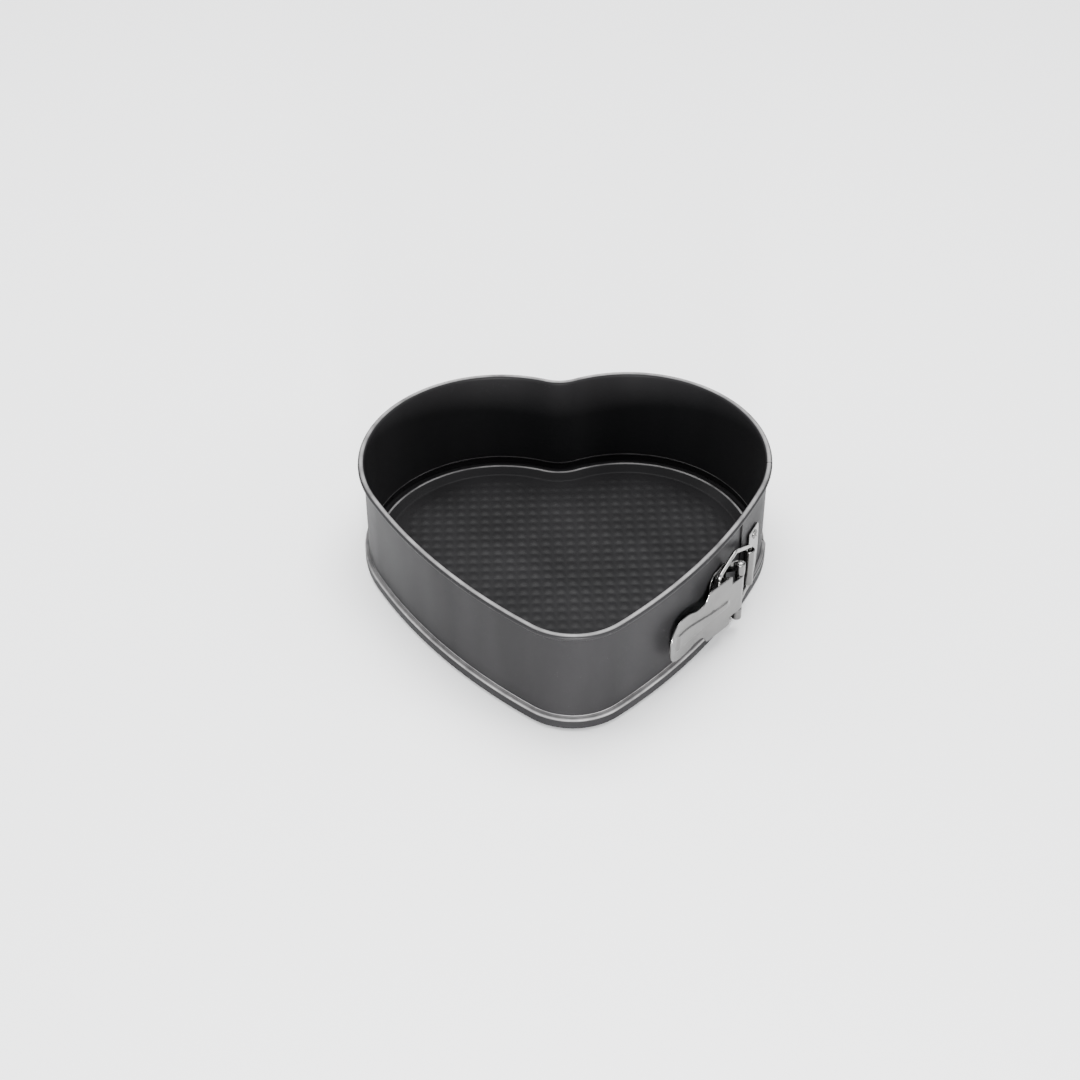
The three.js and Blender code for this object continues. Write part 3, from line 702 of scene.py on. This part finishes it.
def sheen_bands_effect(n, where):
    """Mask of the upright bands of painted sheen."""
    return use(n, "painted_sheen_bands", {"Vector": (VECTOR, None)}, {"Mask": FLOAT}, painted_sheen_bands,
               {"Vector": where})["Mask"]


def rgba(colour, times=1.0):
    """Four values of a colour, made lighter or darker."""
    return (*(c * times for c in colour), 1.0)


def coating_material(name, edges):
    """Satin non-stick coating: dark base, cloudy gloss, orange-peel bump, upright bands of painted sheen, and
    painted highlight bands at given heights, partly rubbed wear.
    """
    finish = bpy.context.scene.pan_finish
    material, n, where, shader = surface(name)
    skin = skin_effect(n, where, 1100.0)
    smear = handling_effect(n, where, 14.0)
    dark, highlight_wear_colour = rgba(finish.coating), rgba(finish.coating_highlight_and_wear)
    # Painted sheen: soft upright bands lighten the coating's colour, and they also make it a little glossier
    bands = sheen_bands_effect(n, where)
    colour = n.mix(n.math("MULTIPLY", smear, 0.35), dark, rgba(finish.coating, 1.45))
    colour = n.mix(n.math("MULTIPLY", bands, 0.7), colour, rgba(finish.coating, 1.5))
    colour = n.mix(n.math("MULTIPLY", skin["Specks"], 0.12), colour, highlight_wear_colour)
    rough = n.math("ADD", n.math("MULTIPLY", smear, 0.1), finish.coating_roughness)
    rough = n.math("SUBTRACT", rough, n.math("MULTIPLY", bands, 0.07))
    # Painted highlights, partly rubbed wear: lighter, glossier bands at the given heights
    for height, width in edges:
        mask = highlight_and_wear_effect(n, where, height * MM, width * MM)
        colour = n.mix(mask, colour, highlight_wear_colour)
        rough = n.math("SUBTRACT", rough, n.math("MULTIPLY", mask, 0.1))
    n.tree.links.new(colour, shader.inputs["Base Color"])
    n.tree.links.new(rough, shader.inputs["Roughness"])
    bump = n.add("ShaderNodeBump", {"Strength": 0.22, "Distance": 0.00008, "Height": skin["Height"]})
    n.tree.links.new(bump.outputs[0], shader.inputs["Normal"])
    shader.inputs["Specular IOR Level"].default_value = 0.07
    return material


def plated_material(name, colour, roughness, turn, stretch):
    """Bright plating: faint streaks along the sheet, smears, and a soft waviness."""
    material, n, where, shader = surface(name)
    mapped = n.add("ShaderNodeMapping", {"Vector": where, "Rotation": (0, 0, turn), "Scale": stretch}).outputs[0]
    streaks = use(n, "brushed", {"Vector": (VECTOR, None)}, {"Streaks": FLOAT}, brushed,
                  {"Vector": mapped})["Streaks"]
    smear = handling_effect(n, where, 60.0)
    tint = n.mix(n.math("MULTIPLY", smear, 0.45), rgba(colour), rgba(colour, 0.6))
    n.tree.links.new(tint, shader.inputs["Base Color"])
    rough = n.math("ADD", n.math("MULTIPLY", streaks, 0.12), n.math("MULTIPLY", smear, 0.12))
    n.tree.links.new(n.math("ADD", rough, roughness - 0.06), shader.inputs["Roughness"])
    waves = n.add("ShaderNodeTexNoise", {"Vector": where, "Scale": 220.0, "Detail": 1.0}).outputs[0]
    height = n.math("ADD", n.math("MULTIPLY", streaks, 0.25), waves)
    bump = n.add("ShaderNodeBump", {"Strength": 0.45, "Distance": 0.0002, "Height": height})
    n.tree.links.new(bump.outputs[0], shader.inputs["Normal"])
    shader.inputs["Metallic"].default_value = 1.0
    return material


def band_coating():
    """Coating of the band, with painted highlight lines, partly rubbed wear, along the rim and along the ledge's
    two bends.
    """
    name = "band_coating"
    # Painted highlight lines, partly rubbed wear: rim top, and the ledge's outer and inner bends
    return bpy.data.materials.get(name) or coating_material(
        name, [(mm("height"), 0.5), (mm("ledge_z") - 0.2, 0.9), (mm("ledge_z") + 1.1, 0.35)])


def latch_plating():
    """Plating of the latch's sheets and rivets."""
    finish = bpy.context.scene.pan_finish
    return bpy.data.materials.get("latch_plating") or plated_material(
        "latch_plating", finish.plating, finish.plating_roughness, np.radians(-57), (260, 2600, 2600))


def wire_plating():
    """Plating of the wire and the pin."""
    finish = bpy.context.scene.pan_finish
    return bpy.data.materials.get("wire_plating") or plated_material(
        "wire_plating", finish.wire, finish.plating_roughness + 0.04, np.radians(-57), (700, 2600, 1200))


# ---- operators ----------------------------------------------------------------------------------
class PAN_OT_tray(bpy.types.Operator):
    """Build the loose base tray with its raised floor pattern"""
    bl_idname = "pan.tray"
    bl_label = "Base tray"

    def execute(self, context):
        # Painted highlight line along the tray's ridge, partly rubbed wear
        material = coating_material("tray_coating", [(mm("ridge_z"), 0.3)])
        tray = piece("base_tray", tray_part(Outline()), material, sharp=60)
        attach(tray, "pan")
        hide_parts("base_plate")
        return {"FINISHED"}


class PAN_OT_band(bpy.types.Operator):
    """Build the sprung band: its fixed run with the inner end, and the run that flexes open"""
    bl_idname = "pan.band"
    bl_label = "Sprung band"

    def execute(self, context):
        o = Outline()
        material = band_coating()
        seam = o.loop - o.starts[2] - RUNS_MEET
        s = np.linspace(o.hinge - INNER_END, seam, 420)
        fixed = piece("band_fixed_run", loft(carried(o, s, band_section(0))), material)
        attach(fixed, "pan")
        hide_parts("band_main")

        cut = o.hinge - INNER_END - 0.5
        s = np.linspace(seam - o.loop, cut, 460)
        grow = LAP * step((s - (o.hinge - INNER_END - JOG - 1)) / JOG)
        run = loft(carried(o, s, np.stack([band_section(g) for g in grow])))
        s = np.linspace(cut, o.hinge - OUTER_END, 60)
        end = loft(carried(o, s, band_section(LAP, rim=False)))
        flexing = piece("band_flexing_run", joined([run, end]), material)
        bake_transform(flexing)
        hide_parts("band_spring")
        return {"FINISHED"}


class PAN_OT_latch_plates(bpy.types.Operator):
    """Build the plated latch sheets: hinge bracket, lever and catch plate"""
    bl_idname = "pan.latch_plates"
    bl_label = "Latch plates"

    def execute(self, context):
        o = Outline()
        hinge, catch = o.frame(o.hinge, 0), o.frame(o.hinge - CATCH_U, LAP)
        for name, part, at, node, body in (
            ("hinge_bracket_sheet", bracket_part(), hinge, "hinge_bracket", "pan"),
            ("lever_sheet", lever_part(), hinge, "latch_lever", "lever"),
            ("catch_sheet", catch_part(), catch, "catch_plate", "band_end"),
        ):
            obj = piece(name, placed(part, at), latch_plating(), sharp=50)
            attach(obj, body)
            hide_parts(node)
        return {"FINISHED"}


class PAN_OT_latch_wire(bpy.types.Operator):
    """Build the wire bail and the hinge pin"""
    bl_idname = "pan.latch_wire"
    bl_label = "Wire bail and pin"

    def execute(self, context):
        o = Outline()
        hinge, catch = o.frame(o.hinge, 0), o.frame(o.hinge - CATCH_U, LAP)
        axis = (np.linalg.inv(hinge) @ catch @ np.array([CATCH_X, CATCH_Y, 0, 1]))[:2]
        run = WIRE_AT - axis
        reach = np.hypot(*run)
        c, s = run / reach
        turn = np.array([[c, -s, 0, axis[0]], [s, c, 0, axis[1]], [0, 0, 1, 0], [0, 0, 0, 1.0]])
        bail = piece("bail_wire", placed(bail_part(reach), hinge @ turn), wire_plating())
        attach(bail, "bail")
        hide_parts("wire_bail")
        shift = np.array([[1, 0, 0, 0], [0, 1, 0, PIN_OUT], [0, 0, 1, 0], [0, 0, 0, 1.0]])
        pin = piece("pin_turned", placed(pin_part(), hinge @ shift), wire_plating())
        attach(pin, "pan")
        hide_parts("hinge_pin")
        return {"FINISHED"}


class PAN_OT_rivets(bpy.types.Operator):
    """Build the four star rivets of the bracket and the catch plate"""
    bl_idname = "pan.rivets"
    bl_label = "Star rivets"

    def execute(self, context):
        o = Outline()
        hinge, catch = o.frame(o.hinge, 0), o.frame(o.hinge - CATCH_U, LAP)
        for name, at, (x, y, z), side, node, body in (
            ("rivet_bracket_top", hinge, BRACKET_RIVET, 1, "bracket_rivet_top", "pan"),
            ("rivet_bracket_bottom", hinge, BRACKET_RIVET, -1, "bracket_rivet_bottom", "pan"),
            ("rivet_catch_top", catch, CATCH_RIVET, 1, "catch_rivet_top", "band_end"),
            ("rivet_catch_bottom", catch, CATCH_RIVET, -1, "catch_rivet_bottom", "band_end"),
        ):
            obj = piece(name, placed(rivet_part(x, y, z * side), at), latch_plating(), sharp=60)
            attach(obj, body)
            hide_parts(node)
        return {"FINISHED"}


CAMERA_YAW, CAMERA_TILT, CAMERA_ROLL = np.radians(-1.49), np.radians(40.5), np.radians(-0.27)
CAMERA_AIM = np.array([-14.5, 6.2])        # millimetres on the floor, from the middle of the lobes' line
CAMERA_DISTANCE = 1.19                     # metres
SENSOR = 36                                # millimetres
FOCAL = 2000 / 1080                        # focal length over the width of the sensor
FLOOR_HALF, FLOOR_Z = 6000.0, -0.1         # millimetres
LIGHTS_AIM = (0, 0, 0.03)
LIGHTS = (                                 # name, place, width, height in metres, watts
    ("overhead_softbox", (0.0, 0.35, 1.7), 1.6, 1.2, 75),
    ("front_softbox", (0.0, -1.1, 0.1), 0.14, 0.18, 45),
    ("left_softbox", (-1.7, 0.2, 1.0), 0.7, 1.2, 12),
    ("right_softbox", (1.6, -0.5, 0.9), 0.5, 0.8, 9),
)


class PAN_OT_studio(bpy.types.Operator):
    """Set up the pale floor, the soft lights and the camera"""
    bl_idname = "pan.studio"
    bl_label = "Studio"

    def execute(self, context):
        material, _, _, shader = surface("studio_floor")
        shader.inputs["Base Color"].default_value = (0.96, 0.96, 0.96, 1)
        shader.inputs["Roughness"].default_value = 0.7
        ways = np.array([[-1, -1], [1, -1], [1, 1], [-1, 1]])
        corners = np.c_[ways * FLOOR_HALF, np.full(4, FLOOR_Z)]
        floor = piece("studio_floor", (corners, [[0, 1, 2, 3]]), material)

        for name, place, width, height, power in LIGHTS:
            data = bpy.data.lights.new(name, "AREA")
            data.shape, data.size, data.size_y, data.energy = "RECTANGLE", width, height, power
            light = bpy.data.objects.new(name, data)
            light.location = place
            light.rotation_euler = (Vector(LIGHTS_AIM) - Vector(place)).to_track_quat("-Z", "Y").to_euler()
            context.scene.collection.objects.link(light)

        world = bpy.data.worlds.new("studio_world")
        world.use_nodes = True
        background = world.node_tree.nodes["Background"]
        background.inputs["Color"].default_value = (0.95, 0.97, 1.0, 1)
        background.inputs["Strength"].default_value = 1.05
        context.scene.world = world

        c, s = np.cos(CAMERA_YAW), np.sin(CAMERA_YAW)
        x, y = CAMERA_AIM
        target = np.array([c * x - s * y, s * x + c * y + Outline().y0, 0]) * MM
        look = np.array([-s * np.cos(CAMERA_TILT), c * np.cos(CAMERA_TILT), -np.sin(CAMERA_TILT)])
        data = bpy.data.cameras.new("camera")
        data.lens, data.sensor_width = FOCAL * SENSOR, SENSOR
        camera = bpy.data.objects.new("camera", data)
        turn = Vector(look).to_track_quat("-Z", "Y").to_matrix() @ Matrix.Rotation(CAMERA_ROLL, 3, "Z")
        camera.matrix_world = Matrix.Translation(target - look * CAMERA_DISTANCE) @ turn.to_4x4()
        context.scene.collection.objects.link(camera)
        context.scene.camera = camera
        return {"FINISHED"}


class PAN_PT_sidebar(bpy.types.Panel):
    """Lists the pan's pieces, sizes and finishes"""
    bl_idname = "PAN_PT_sidebar"
    bl_label = "Springform Pan"
    bl_space_type = "VIEW_3D"
    bl_region_type = "UI"
    bl_category = "Springform Pan"

    def draw(self, context):
        for operator in OPERATORS:
            self.layout.operator(operator.bl_idname)
        for group in (context.scene.pan_sizes, context.scene.pan_finish):
            box = self.layout.box()
            for name in group.__annotations__:
                box.prop(group, name)


OPERATORS = (PAN_OT_tray, PAN_OT_band, PAN_OT_latch_plates, PAN_OT_latch_wire, PAN_OT_rivets, PAN_OT_studio)
CLASSES = (PanSizes, PanFinish, *OPERATORS, PAN_PT_sidebar)


def register():
    """Registers the classes and puts the sizes and finishes on the scene."""
    for cls in CLASSES:
        bpy.utils.register_class(cls)
    bpy.types.Scene.pan_sizes = bpy.props.PointerProperty(type=PanSizes)
    bpy.types.Scene.pan_finish = bpy.props.PointerProperty(type=PanFinish)


def unregister():
    """Takes them away again."""
    del bpy.types.Scene.pan_finish, bpy.types.Scene.pan_sizes
    for cls in reversed(CLASSES):
        bpy.utils.unregister_class(cls)


def main():
    """Builds every piece in order."""
    register()
    bpy.ops.pan.tray()
    bpy.ops.pan.band()
    bpy.ops.pan.latch_plates()
    bpy.ops.pan.latch_wire()
    bpy.ops.pan.rivets()
    bpy.ops.pan.studio()


if __name__ == "__main__":
    main()
